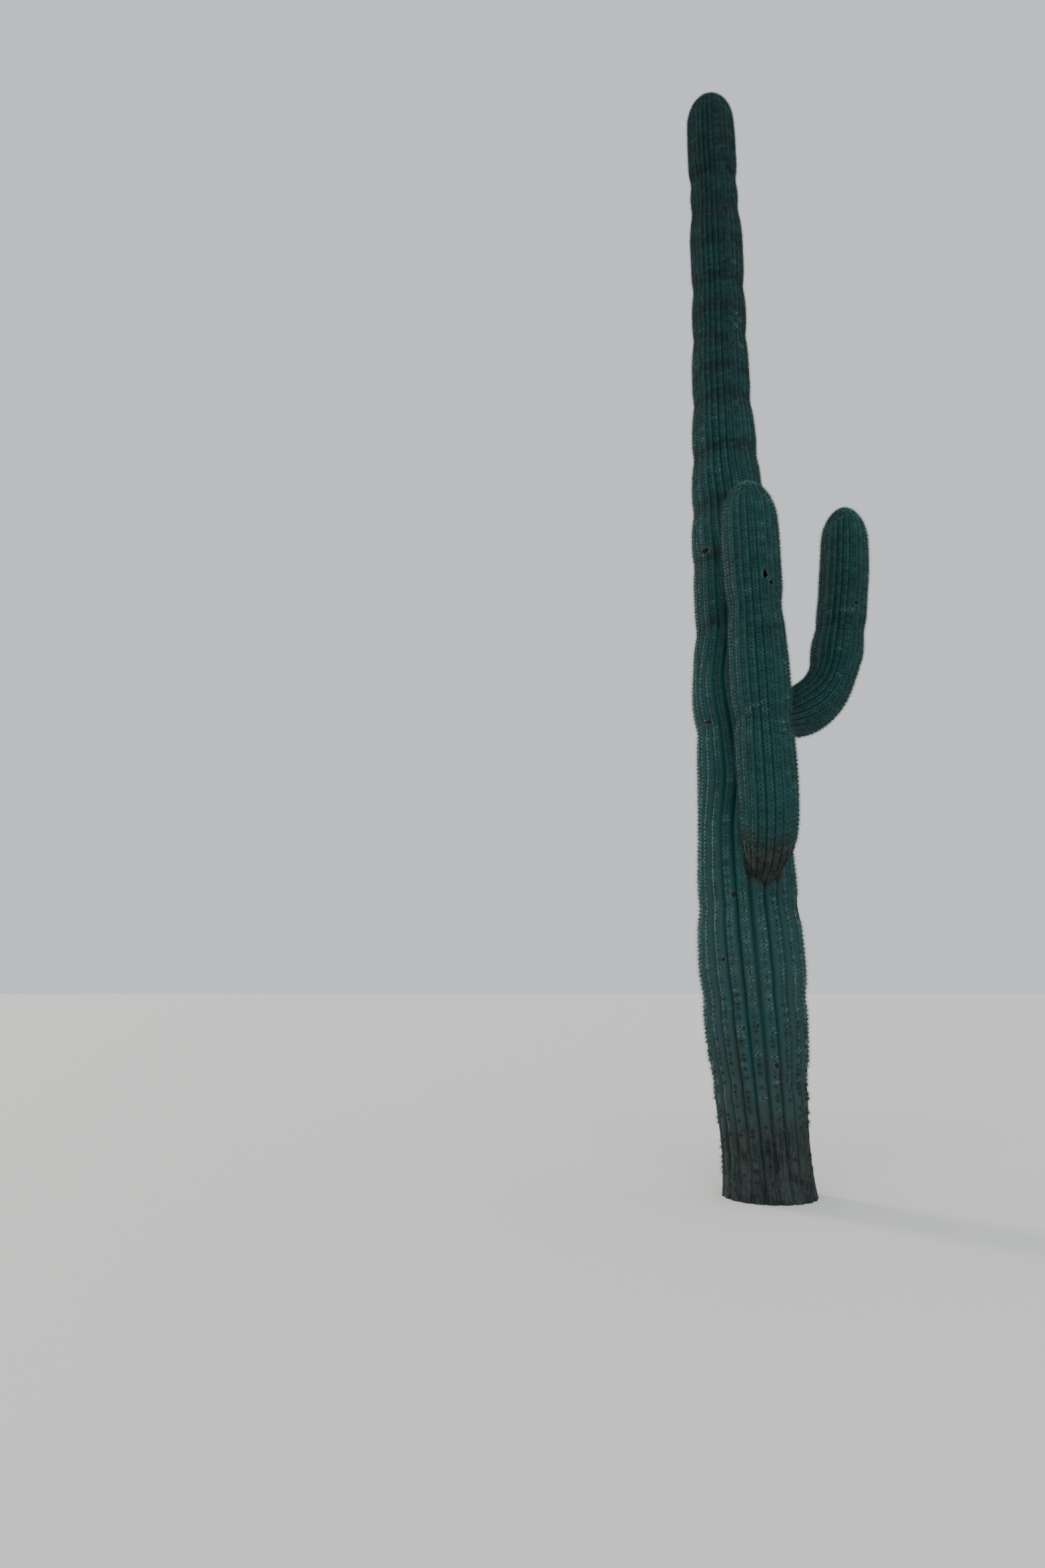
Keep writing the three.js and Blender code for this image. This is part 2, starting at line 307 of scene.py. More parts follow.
def findMark(mark):  # where the mark lies in the growth rule's own terms
    stem = mark["stem"]
    overs = np.linspace(0, stem["domeStart"], markFit["rows"])
    count = len(stem["slots"])
    ribs = np.linspace(0, count, markFit["perRib"] * count, endpoint=False)
    centre = stemAxis(stem, overs)[0]
    height, bearing = mark["at"]
    over = overs[np.argmin(abs(centre[:, 2] - height))]
    points = stemPoint(stem, np.full(len(ribs), over), ribs)
    middle = points.mean(0)
    bearings = np.arctan2(points[:, 1] - middle[1], points[:, 0] - middle[0])
    away = np.abs(np.angle(np.exp(1j * (bearings - math.radians(bearing)))))
    rib = ribs[np.argmin(away)]
    found, _, upward, _ = stemFrame(stem, np.array([over]), np.array([rib]))
    mark["point"], mark["upward"] = found[0], upward[0]
    mark["outward"] = unit(found[0] - middle)
    mark["sideways"] = np.cross(mark["upward"], mark["outward"])


def markReach(mark, points):  # 0 at a mark's middle, 1 at its edge
    away = points - mark["point"]
    wide, tall = mark["size"]
    parts = (away @ mark["upward"] / tall, away @ mark["sideways"] / wide,
             away @ mark["outward"] / markFit["inward"])
    return np.sqrt(sum(part**2 for part in parts))


def marksOn(stem):
    return [mark for mark in marks if mark["stem"] is stem]


for mark in marks:
    findMark(mark)
print("found the places of", len(marks), "marks")


# Edit mode helpers: everything is deselected first, then picked in code
def alone(piece):
    bpy.ops.object.select_all(action="DESELECT")
    piece.select_set(True)
    bpy.context.view_layer.objects.active = piece


def pickFaces(piece, wanted):
    mesh = piece.data
    mesh.vertices.foreach_set("select", np.zeros(len(mesh.vertices), bool))
    mesh.edges.foreach_set("select", np.zeros(len(mesh.edges), bool))
    mesh.polygons.foreach_set("select", wanted)
    mesh.update()


def coordinates(mesh):
    flat = np.empty(len(mesh.vertices) * 3, np.float32)
    mesh.vertices.foreach_get("co", flat)
    return flat.reshape(-1, 3).astype(float)


def setCoordinates(mesh, points):
    mesh.vertices.foreach_set("co", np.asarray(points, np.float32).ravel())
    mesh.update()


def paint(mesh, name, values):  # an attribute that the skin's material reads
    layer = mesh.attributes.new(name, "FLOAT", "POINT")
    layer.data.foreach_set("value", np.asarray(values, np.float32))


# Skin: a subdivided sheet, refined round the marks, wrapped round the stem by the growth rule
skin = {
    "markCuts": 3, "markMargin": 1.7,  # finer faces as far as this many times a mark's size
    "markRagged": 0.35, "raggedScale": 60,
    "dentEdge": (0.3, 1.0), "scarEdge": (0.75, 1.1),  # in a mark's own size
    # a lifted lip round each mark; the same mask also paints a pale highlight along it in the
    # skin's colour
    "rimHeight": 0.0022, "rimAt": 1.15, "rimWide": 0.2,
    "cork": {  # from here to here cork gives way to green skin, and how unevenly
        "trunk": (-0.05, 0.95, 0.12), "front_arm": (0.31, 0.44, 0.06),
        "right_arm": (-0.05, 0.24, 0.04),
    },
    "corkScales": (5, 17),
    "corkCrest": 0.05,  # cork runs further up the crests than the grooves
    "collar": 0.014, "collarReach": 0.035,  # the trunk swells where an arm leaves it
    "collarSpan": 0.5, "collarRoot": 0.3, "collarSteps": 16,  # how much of both is compared
    "collarCork": 0.016, "collarShare": 0.4,
    "corkRelief": 0.0035, "corkReliefScales": (26, 60), "skinRelief": 0.0012, "skinScale": 24,
    "calm": 0.1,  # no relief on the dome, which sets in over this length to both sides
    "tipReach": 0.25, "aged": (0.5, 2.9),  # young skin near a tip, weathered skin at the foot
    "ribSnap": 800,  # ribs' places are rounded to this part, so that seam and crest meet
    "flat": 0.0005, "clear": 0.002,  # the flat cut, and the least height of what is above it
    "weld": 0.00002, "smooth": math.radians(70),
}


def corkAt(stem, over, part, points):  # 1 on cork, 0 on green skin
    solid, clear, uneven = skin["cork"][stem["name"]]
    broad, fine = skin["corkScales"]
    shift = rough(points, broad, uneven) + rough(points, fine, uneven / 2)
    crest = np.sin(math.pi * part) * skin["corkCrest"]
    return 1 - np.clip((over + shift - crest - solid) / (clear - solid), 0, 1)


def gapTo(arm, points, length, steps):  # how far points are from an arm's first stretch
    places = np.linspace(0, length, steps)
    away = np.linalg.norm(points[:, None] - stemAxis(arm, places)[0][None], axis=2)
    return (away - along(arm["radii"], places)).min(1)


def collarAt(stem, points, reach):  # 1 on the trunk where an arm's foot comes out of it
    near = np.zeros(len(points))
    if stem is not trunk:
        return near
    for arm in arms:
        close = np.abs(points[:, 2] - arm["rootHeight"]) < skin["collarSpan"]
        gap = gapTo(arm, points[close], skin["collarRoot"], skin["collarSteps"])
        swell = np.exp(-((np.maximum(gap, 0) / reach) ** 2))
        near[close] = np.maximum(near[close], swell)
    return near


def makeSkin(stem):
    name = stem["name"] + "_skin"
    ribs = len(stem["slots"])
    bpy.ops.object.select_all(action="DESELECT")
    bpy.ops.mesh.primitive_grid_add(
        x_subdivisions=ribs * stem["columnsPerRib"], y_subdivisions=stem["rows"], size=2)
    piece = bpy.context.object
    piece.name = piece.data.name = name
    mesh = piece.data

    def growthTerms():  # the flat sheet's own coordinates as length over the skin and rib
        flat = coordinates(mesh)
        over = (flat[:, 1] + 1) / 2 * stem["top"]
        rib = (flat[:, 0] + 1) / 2 * ribs
        return over, np.round(rib * skin["ribSnap"]) / skin["ribSnap"]

    for mark in marksOn(stem):
        over, rib = growthTerms()
        near = markReach(mark, stemPoint(stem, over, rib)) < skin["markMargin"]
        corners = np.zeros(len(mesh.loops), np.int32)
        mesh.loops.foreach_get("vertex_index", corners)
        starts = np.zeros(len(mesh.polygons), np.int32)
        mesh.polygons.foreach_get("loop_start", starts)
        pickFaces(piece, np.logical_or.reduceat(near[corners], starts))
        alone(piece)
        bpy.ops.object.mode_set(mode="EDIT")
        bpy.ops.mesh.select_mode(type="FACE")
        bpy.ops.mesh.subdivide(number_cuts=skin["markCuts"])
        bpy.ops.object.mode_set(mode="OBJECT")

    over, rib = growthTerms()
    part = rib - np.floor(rib)
    points = stemPoint(stem, over, rib)
    centre = stemAxis(stem, np.minimum(over, stem["length"]))[0]
    domed = ease(stem["domeStart"] - skin["calm"], stem["domeStart"] + skin["calm"], over)
    outward = unit(points - centre) * (1 - domed)[:, None]
    cork = np.maximum(corkAt(stem, over, part, points),
                      collarAt(stem, points, skin["collarCork"]) * skin["collarShare"])
    collar = collarAt(stem, points, skin["collarReach"]) * skin["collar"]
    coarse, fine = skin["corkReliefScales"]
    crust = rough(points, coarse, skin["corkRelief"]) + rough(points, fine, skin["corkRelief"] / 2)
    soft = rough(points, skin["skinScale"], skin["skinRelief"])
    relief = soft * (1 - cork) + crust * cork
    scarAndHoleShade = np.zeros(len(points))
    rimLiftAndHighlight = np.zeros(len(points))
    dent = np.zeros(len(points))
    ragged = rough(points, skin["raggedScale"], skin["markRagged"])
    for mark in marksOn(stem):
        reach = markReach(mark, points) + ragged
        dent = np.maximum(dent, mark["deep"] * (1 - ease(*skin["dentEdge"], reach)))
        scarAndHoleShade = np.maximum(scarAndHoleShade, mark["dark"] * (1 - ease(*skin["scarEdge"], reach)))
        rimLiftAndHighlight = np.maximum(rimLiftAndHighlight, np.exp(-(((reach - skin["rimAt"]) / skin["rimWide"]) ** 2)))
    raised = (over > skin["flat"]) | (stem is not trunk)
    points += outward * (relief * raised + collar + rimLiftAndHighlight * skin["rimHeight"] - dent)[:, None]
    if stem is trunk:
        points[:, 2] = np.where(over < skin["flat"], 0, np.maximum(points[:, 2], skin["clear"]))
    setCoordinates(mesh, points)
    rise = np.sin(math.pi * part) ** growth["crestRound"]
    slot = np.floor(rib).astype(int) % ribs
    paint(mesh, "crest", rise * ribShares(stem, over)[np.arange(len(over)), slot])
    paint(mesh, "band", bandAt(stem, over, points))
    paint(mesh, "cork", cork)
    paint(mesh, "scarAndHoleShade", scarAndHoleShade)
    paint(mesh, "rimLiftAndHighlight", rimLiftAndHighlight)
    paint(mesh, "tip", ease(stem["domeStart"] - skin["tipReach"], stem["top"], over))
    paint(mesh, "aged", (stem is trunk) * (1 - ease(*skin["aged"], points[:, 2])))
    alone(piece)
    bpy.ops.object.mode_set(mode="EDIT")
    bpy.ops.mesh.select_all(action="SELECT")
    bpy.ops.mesh.remove_doubles(threshold=skin["weld"])  # closes the seam and the tip
    bpy.ops.mesh.select_all(action="DESELECT")
    bpy.ops.mesh.select_mode(type="EDGE")
    bpy.ops.mesh.select_non_manifold()  # the open foot
    bpy.ops.mesh.edge_face_add()
    bpy.ops.mesh.poke()
    bpy.ops.mesh.select_all(action="SELECT")
    bpy.ops.mesh.normals_make_consistent(inside=False)
    bpy.ops.object.mode_set(mode="OBJECT")
    bpy.ops.object.shade_smooth_by_angle(angle=skin["smooth"])
    print(name, "has", len(mesh.polygons), "faces")
    return piece


# Areoles: the felt cushions along each crest that the spines grow from
areole = {
    "spacing": [(0, 0.030), (2.5, 0.026), (5.5, 0.023), (8.3, 0.020)],  # by height
    "uneven": (0.9, 1.1), "offCrest": 0.025,  # how the spacing and the place on the rib vary
    "tipSpacing": 0.011, "tipReach": 0.16, "tipGap": 0.012,
    "first": {"trunk": 0.10, "front_arm": 0.350, "right_arm": 0.18}, "stagger": 0.055,
    "leastShare": 0.35,  # a new rib carries them once this much of it has grown
    "markClear": 1.15, "jointClear": 0.004,  # none on a mark, or where an arm meets the trunk
    "jointSpan": 0.6, "jointSteps": 40,  # how much of an arm is looked at for that
    "worn": (0.2, 1.1), "leastKept": 0.22,  # old skin near the ground has lost many of them
    "padCorners": 6, "padTall": 0.0075, "padWide": 0.0062, "padDeep": 0.0042,
    "padSizes": (0.85, 1.15), "padSunk": 0.0015,
    "youngReach": 0.22, "youngWider": 0.35, "youngDeeper": 0.5,  # cushions near a tip
    # heights over which the colours that are dealt out change
    "high": (1.0, 3.4), "lofty": (4.8, 7.4), "foot": (0.4, 1.5),
    "armsDealt": 1.2,  # an arm's spines are as weathered as the trunk's this far above them
    "loftyDull": 0.7,  # how much less fresh the trunk's dome is than the arms' domes
}


def layAreoles(stem):
    overs, ribs = [], []
    for slot, start in enumerate(stem["slots"]):
        over = areole["first"][stem["name"]] + rng.uniform(0, areole["stagger"])
        if start is not None:
            over = start + growth["newRibLength"] * areole["leastShare"]
        while over < stem["top"] - areole["tipGap"]:
            overs.append(over)
            ribs.append(slot + 0.5)
            height = min(over, stem["length"])
            if stem is not trunk:
                height += stem["rootHeight"]
            spacing = alongAt(areole["spacing"], height)
            left = stem["top"] - over
            if left < areole["tipReach"]:
                share = left / areole["tipReach"]
                spacing = areole["tipSpacing"] + (spacing - areole["tipSpacing"]) * share
            over += spacing * rng.uniform(*areole["uneven"])
    overs, ribs = np.array(overs), np.array(ribs)
    ribs = ribs + rng.uniform(-areole["offCrest"], areole["offCrest"], len(ribs))
    point, outward, upward, sideways = stemFrame(stem, overs, ribs)
    keep = np.ones(len(overs), bool)
    for mark in marksOn(stem):
        keep &= markReach(mark, point) > areole["markClear"]
    if stem is trunk:  # none where an arm leaves it, and fewer near the ground
        for arm in arms:
            gap = gapTo(arm, point, areole["jointSpan"], areole["jointSteps"])
            keep &= gap > areole["jointClear"]
        kept = areole["leastKept"] + (1 - areole["leastKept"]) * ease(*areole["worn"], point[:, 2])
        keep &= rng.random(len(overs)) < kept
    else:  # none where the arm is still inside the trunk
        axis = stemAxis(trunk, point[:, 2])[0]
        outside = np.linalg.norm((point - axis)[:, :2], axis=1)
        keep &= outside > along(trunk["radii"], point[:, 2]) + areole["jointClear"]
    spots = {"over": overs, "point": point, "outward": outward, "upward": upward,
             "sideways": sideways}
    spots = {key: values[keep] for key, values in spots.items()}
    height = spots["point"][:, 2]
    weathered = height + (0 if stem is trunk else areole["armsDealt"])
    spots["young"] = ease(areole["youngReach"], 0.0, stem["top"] - spots["over"])
    spots["high"] = ease(*areole["high"], weathered)
    spots["lofty"] = ease(*areole["lofty"], height)
    spots["fresh"] = spots["young"] * (1 - areole["loftyDull"] * spots["lofty"])
    spots["band"] = bandAt(stem, spots["over"], spots["point"])
    spots["foot"] = 1 - ease(*areole["foot"], height)
    print(stem["name"], "has", len(height), "areoles")
    return spots


def joinedMesh(name, points, faces, tones, smooth):  # a tone is a place among the materials
    mesh = bpy.data.meshes.new(name)
    mesh.vertices.add(len(points))
    mesh.vertices.foreach_set("co", np.asarray(points, np.float32).ravel())
    corners = faces.shape[1]
    mesh.loops.add(faces.size)
    mesh.loops.foreach_set("vertex_index", faces.astype(np.int32).ravel())
    mesh.polygons.add(len(faces))
    mesh.polygons.foreach_set("loop_start", np.arange(0, faces.size, corners, dtype=np.int32))
    mesh.polygons.foreach_set("material_index", tones.astype(np.int32))
    mesh.polygons.foreach_set("use_smooth", np.full(len(faces), smooth))
    mesh.update(calc_edges=True)
    mesh.validate()
    piece = bpy.data.objects.new(name, mesh)
    bpy.context.scene.collection.objects.link(piece)
    return piece


def makePads(name, spots):  # one low cushion for each areole
    count, corners = len(spots["point"]), areole["padCorners"]
    turn = np.arange(corners) * 2 * math.pi / corners
    young = spots["young"][:, None]
    grown = rng.uniform(*areole["padSizes"], (count, 1)) * (1 + areole["youngWider"] * young)
    tall = areole["padTall"] * grown * np.cos(turn)[None]
    wide = areole["padWide"] * grown * np.sin(turn)[None]
    edge = (spots["point"][:, None] - spots["outward"][:, None] * areole["padSunk"]
            + tall[..., None] * spots["upward"][:, None]
            + wide[..., None] * spots["sideways"][:, None])
    deep = areole["padDeep"] * (1 + areole["youngDeeper"] * young)
    points = np.concatenate((edge, (spots["point"] + spots["outward"] * deep)[:, None]), 1)
    i = np.arange(corners)
    sides = np.stack((i, np.roll(i, -1), np.full(corners, corners)), 1)
    under = np.array([(0, k + 1, k) for k in range(1, corners - 1)])
    each = np.concatenate((sides[:, ::-1], under[:, ::-1]))  # the faces of one cushion
    faces = np.arange(count)[:, None, None] * (corners + 1) + each[None]
    tones = np.repeat(rng.integers(0, len(feltFinishes), count), len(each))
    return joinedMesh(name, points.reshape(-1, 3), faces.reshape(-1, 3), tones, True)


# Spines: three-sided points, the fine ones round each areole's edge and the stout ones standing
spine = {
    "fine": {
        "fewer": 11, "more": 14,  # at each areole, low on the trunk and elsewhere
        "length": (0.018, 0.033), "thick": 0.0011, "spread": 0.0070,
        "stand": (8, 38), "youngStand": 24,  # degrees from the skin, and added near a tip
        "droop": 0, "highShort": 0,
        "turned": 0, "sideBias": 0.38,  # turned towards both sides of the rib
        "endShare": 0.6,  # those that point up and down the rib are this much as long
    },
    "stout": {
        "fewer": 5, "more": 5,
        "length": (0.021, 0.035), "thick": 0.0013, "spread": 0.0028,
        "stand": (42, 82), "youngStand": 0,
        "droop": -0.28, "highShort": 0.12,  # old ones hang, those high up are shorter
        "turned": 1, "sideBias": 0,  # the first one points anywhere
        "endShare": 1,
    },
    "uneven": 0.35, "tipLift": 0.75, "highThin": 0.2, "highDroop": 0.5,
    "bandShort": 0.25,  # spines are this much shorter in the dark bands
    "spreadTall": 1.2, "rootLift": 0.0012,
    "skew": 0.31,  # so that the direction its corners are laid out from is never a spine's own
}
# How often each colour is dealt to an areole: pale, grey, dull, brown, dark. It starts from the
# first row, and the others take over higher up, near the trunk's top, in the dark bands, on the
# domes and at the foot.
toneShares = {
    "fine": {
        "low": (0.45, 0.52, 0.03, 0.0, 0.0), "high": (0.02, 0.40, 0.46, 0.11, 0.01),
        "lofty": (0.0, 0.12, 0.44, 0.38, 0.06), "band": (0.0, 0.0, 0.04, 0.46, 0.50),
        "fresh": (0.7, 0.3, 0.0, 0.0, 0.0), "foot": (0.0, 0.02, 0.26, 0.52, 0.20),
    },
    "stout": {
        "low": (0.18, 0.52, 0.28, 0.02, 0.0), "high": (0.0, 0.10, 0.48, 0.36, 0.06),
        "lofty": (0.0, 0.02, 0.28, 0.52, 0.18), "band": (0.0, 0.0, 0.02, 0.38, 0.60),
        "fresh": (0.3, 0.5, 0.2, 0.0, 0.0), "foot": (0.0, 0.0, 0.2, 0.55, 0.25),
    },
}


def dealTones(spots, dealt):  # a colour for each areole, by where it is on the plant
    shares = np.array(dealt["low"])
    for key in ("high", "lofty", "fresh", "band", "foot"):
        shares = shares + (np.array(dealt[key]) - shares) * spots[key][:, None]
    drawn = rng.random(len(shares))[:, None]
    return (drawn > np.cumsum(shares, 1)).sum(1).clip(0, shares.shape[1] - 1)


def makeSpines(name, spots, kind):
    own = spine[kind]
    count, each = len(spots["point"]), own["fewer" if "low" in name else "more"]
    young, raised = spots["young"][:, None], spots["high"][:, None]
    turn = np.arange(each)[None] + rng.uniform(-spine["uneven"], spine["uneven"], (count, each))
    turn = turn / each * 2 * math.pi
    turn += rng.uniform(0, 2 * math.pi, (count, 1)) * own["turned"]
    turn += own["sideBias"] * np.sin(2 * turn)
    stand = np.radians(rng.uniform(*own["stand"], (count, each)) + own["youngStand"] * young)
    droop = own["droop"] * (1 - young) * (1 - spine["highDroop"] * raised)
    length = rng.uniform(*own["length"], (count, each))
    length *= 1 - own["highShort"] * raised * (1 - young)
    length *= 1 - spine["bandShort"] * spots["band"][:, None]
    length *= own["endShare"] + (1 - own["endShare"]) * np.abs(np.sin(turn))
    thick = own["thick"] * (1 - spine["highThin"] * raised)
    up, side, out = (spots[key][:, None] for key in ("upward", "sideways", "outward"))
    lift = np.cos(stand) * np.cos(turn) + droop + spine["tipLift"] * young
    way = unit(lift[..., None] * up + (np.cos(stand) * np.sin(turn))[..., None] * side
               + np.sin(stand)[..., None] * out)
    base = (spots["point"][:, None] + out * spine["rootLift"]
            + own["spread"] * (np.cos(turn)[..., None] * up * spine["spreadTall"]
                               + np.sin(turn)[..., None] * side))
    across = unit(np.cross(way, out + spine["skew"] * up))
    other = np.cross(way, across)
    corners = [base + thick[..., None] * (math.cos(angle) * across + math.sin(angle) * other)
               for angle in np.arange(3) * 2 * math.pi / 3]
    corners.append(base + way * length[..., None])
    points = np.stack(corners, 2).reshape(-1, 3)
    sides = np.array([(0, 1, 3), (1, 2, 3), (2, 0, 3), (0, 2, 1)])
    faces = np.arange(count * each)[:, None, None] * len(corners) + sides[None]
    tones = np.repeat(dealTones(spots, toneShares[kind]), each * len(sides))
    return joinedMesh(name, points, faces.reshape(-1, 3), tones, False)


def partOf(spots, low, high):  # the areoles of one stretch of a stem
    inside = (spots["over"] >= low) & (spots["over"] < high)
    return {key: values[inside] for key, values in spots.items()}


# Woolly crown: the felted growing point in the middle of each dome
crown = {"wide": 0.030, "tall": 0.016, "cuts": 5, "lumps": ((5, 0.35), (14, 0.15))}


def makeCrown(stem):
    tip = stemAxis(stem, np.array([stem["length"]]))[0][0]
    bpy.ops.object.select_all(action="DESELECT")
    bpy.ops.mesh.primitive_ico_sphere_add(subdivisions=crown["cuts"], radius=1)
    piece = bpy.context.object
    piece.name = piece.data.name = stem["name"] + "_wool"
    ball = coordinates(piece.data)
    lumps = sum((rough(ball, scale, deep) for scale, deep in crown["lumps"]), start=1)
    size = (crown["wide"], crown["wide"], crown["tall"])
    setCoordinates(piece.data, ball * lumps[:, None] * size + tip)
    alone(piece)
    bpy.ops.object.shade_smooth()
    return piece


# Materials
class Strand:  # one socket, so that shader maths reads as arithmetic
    def __init__(self, finish, socket):
        self.finish = finish
        self.socket = socket

    def maths(self, operation, first, second):
        return self.finish.node("ShaderNodeMath", {"operation": operation}, {0: first, 1: second})

    def __add__(self, other):
        return self.maths("ADD", self, other)

    def __radd__(self, other):
        return self.maths("ADD", other, self)

    def __sub__(self, other):
        return self.maths("SUBTRACT", self, other)

    def __rsub__(self, other):
        return self.maths("SUBTRACT", other, self)

    def __mul__(self, other):
        return self.maths("MULTIPLY", self, other)

    def __rmul__(self, other):
        return self.maths("MULTIPLY", other, self)


class Finish:  # one material and the nodes that make its look
    def __init__(self, name):
        self.material = bpy.data.materials.new(name)
        self.material.use_nodes = True
        self.tree = self.material.node_tree
        self.shader = self.tree.nodes["Principled BSDF"]

    def node(self, kind, settings=None, values=None, output=0):
        made = self.tree.nodes.new(kind)
        for key, value in (settings or {}).items():
            setattr(made, key, value)
        for key, value in (values or {}).items():
            if isinstance(value, Strand):
                self.tree.links.new(value.socket, made.inputs[key])
            else:
                made.inputs[key].default_value = value
        return Strand(self, made.outputs[output])

    def object(self):  # the place on the plant, in metres
        return self.node("ShaderNodeTexCoord", output="Object")

    def value(self, name):  # what paint() left on the skin
        return self.node("ShaderNodeAttribute", {"attribute_name": name}, output="Fac")

    def speckle(self, scale, detail, stretch=None):
        place = self.object()
        if stretch:
            place = self.node("ShaderNodeMapping", None, {"Vector": place, "Scale": stretch})
        return self.node("ShaderNodeTexNoise", None,
                         {"Vector": place, "Scale": scale, "Detail": detail})

    def cells(self, scale, stretch):  # how far a point is from the cracks between cells
        place = self.node("ShaderNodeMapping", None, {"Vector": self.object(), "Scale": stretch})
        return self.node("ShaderNodeTexVoronoi", {"feature": "DISTANCE_TO_EDGE"},
                         {"Vector": place, "Scale": scale})

    def between(self, value, low, high):  # 0 below low, 1 above high, smooth between
        return self.node("ShaderNodeMapRange", {"interpolation_type": "SMOOTHSTEP"},
                         {"Value": value, "From Min": low, "From Max": high})

    def blend(self, share, first, second):  # two colours
        return self.node("ShaderNodeMix", {"data_type": "RGBA"}, {0: share, 6: first, 7: second}, 2)

    def feed(self, socket, value):
        if isinstance(value, Strand):
            self.tree.links.new(value.socket, self.shader.inputs[socket])
        else:
            self.shader.inputs[socket].default_value = value

    def bump(self, height, distance, strength=1.0):
        self.feed("Normal", self.node("ShaderNodeBump", None, {
            "Height": height, "Distance": distance, "Strength": strength}))


def tint(red, green, blue):  # an 8-bit screen colour as a shader colour
    def linear(value):
        value = value / 255
        return value / 12.92 if value <= 0.04045 else ((value + 0.055) / 1.055) ** 2.4
    return (linear(red), linear(green), linear(blue), 1)


skinLook = {
    # painted light: the grooves are coloured lighter and the crests darker than the flanks, to make
    # up for the shade that falls in the grooves
    "groove": tint(28, 77, 76), "flank": tint(26, 71, 70), "crest": tint(26, 66, 65),
    "band": tint(12, 42, 41), "aged": tint(44, 68, 70), "agedBrown": tint(46, 62, 60),
    "young": tint(28, 84, 72), "blotch": tint(28, 72, 62), "scuff": tint(96, 102, 92),
    # bark colours: grey-brown bark, made darker still as painted shade for the shaded underside of
    # the front arm's foot; the trunk's foot has the same colours
    "cork": tint(36, 45, 43), "corkPale": tint(54, 63, 60), "corkDark": tint(18, 22, 22),
    "scarAndHoleShade": tint(10, 11, 11), "callus": tint(30, 42, 39), "rimLiftAndHighlight": tint(84, 86, 74),
    # painted shade: the skin is coloured darker towards the trunk's top
    "loftShade": tint(13, 44, 44),
    "youngShare": 0.4, "bandShare": 0.92, "barkShare": 0.92,
    "rough": 0.5, "gloss": 0.18, "relief": 0.004, "reliefStrength": 0.7,
}
skinGrain = {  # scale, detail and stretch of each pattern
    "broad": (1.3, 3), "middling": (9, 4), "fine": (70, 3),
    "wrinkle": (26, 4, (1, 1, 4)), "streak": (14, 3, (1, 1, 0.12)), "crack": (30, (1, 1, 0.22)),
}
skinLayers = {  # from here to here of its pattern a layer sets in, and its share in the end
    "flank": (0.02, 0.6, 1), "crest": (0.75, 1.15, 1), "blotch": (0.5, 0.75, 0.35),
    "loftShade": (5.2, 7.4, 0.4), "aged": (0.35, 0.85, 0.75), "agedBrown": (0.25, 0.6, 0.6),
    "scuff": (0.72, 0.82, 1), "stain": (-0.1, 0.75, 0.7), "cork": (0.4, 1.1, 1),
    "corkPale": (0.55, 0.85, 1), "furrow": (0.12, 0.32, 1), "rimLiftAndHighlight": (0.3, 0.6, 0.7),
    "callus": (0.2, 0.35, 1), "scarAndHoleShade": (0.6, 0.8, 1),
}


def makeSkinFinish():
    finish = Finish("waxy_ribbed_skin")
    crest, aged = finish.value("crest"), finish.value("aged")
    broad, middling, fine, wrinkle, streak = (
        finish.speckle(*skinGrain[name])
        for name in ("broad", "middling", "fine", "wrinkle", "streak"))
    crack = finish.cells(*skinGrain["crack"])
    height = finish.node("ShaderNodeSeparateXYZ", None, {"Vector": finish.object()}, "Z")

    def shows(name, pattern):  # where a layer lies
        low, high, share = skinLayers[name]
        return finish.between(pattern, low, high) * share

    # bark breaks up into patches at its edge, and scars have ragged ones
    corkiness = finish.value("cork") * 1.5 + (1.3 * middling + 0.8 * streak + 0.35 * fine - 1.22)
    scarAndHoleShade = finish.value("scarAndHoleShade") + 0.25 * fine - 0.12
    cork = shows("cork", corkiness)
    furrow = shows("furrow", crack + 0.25 * middling + 0.1 * fine)
    bark = finish.blend(shows("corkPale", middling + 0.4 * fine), skinLook["cork"],
                        skinLook["corkPale"])
    bark = finish.blend(0.3 + 0.7 * furrow, skinLook["corkDark"], bark)
    layers = [  # from the bottom up
        (shows("flank", crest), skinLook["flank"]),
        (shows("crest", crest + 0.25 * fine), skinLook["crest"]),
        (shows("blotch", middling), skinLook["blotch"]),
        (finish.value("tip") * skinLook["youngShare"], skinLook["young"]),
        (finish.value("band") * skinLook["bandShare"], skinLook["band"]),
        # painted shade, growing from 5.2 m up to the top
        (shows("loftShade", height), skinLook["loftShade"]),
        (aged * shows("aged", broad + 0.5 * middling), skinLook["aged"]),
        (aged * shows("agedBrown", streak + 0.3 * middling - 0.25 * height),
         skinLook["agedBrown"]),
        (shows("scuff", wrinkle + 0.2 * fine) * (0.15 + 0.5 * aged), skinLook["scuff"]),
        (shows("stain", corkiness), skinLook["agedBrown"]),
        # bark, whose colours also carry painted shade
        (cork * skinLook["barkShare"], bark),
        # painted highlight: a pale colour along the lifted lip round each mark
        (finish.value("rimLiftAndHighlight") * shows("rimLiftAndHighlight", fine), skinLook["rimLiftAndHighlight"]),
        (shows("callus", scarAndHoleShade), skinLook["callus"]),
        # near-black in the marks: dark scar tissue, and painted shade inside the holes
        (shows("scarAndHoleShade", scarAndHoleShade), skinLook["scarAndHoleShade"]),
    ]
    colour = skinLook["groove"]
    for share, tone in layers:
        colour = finish.blend(share, colour, tone)
    finish.feed("Base Color", colour)
    finish.feed("Roughness", skinLook["rough"] + 0.14 * middling + 0.28 * cork)
    finish.feed("Specular IOR Level", skinLook["gloss"])
    relief = wrinkle * 0.6 + fine * 0.3 + middling * 0.5
    finish.bump(relief + cork * furrow * 1.4, skinLook["relief"], skinLook["reliefStrength"])
    return finish.material


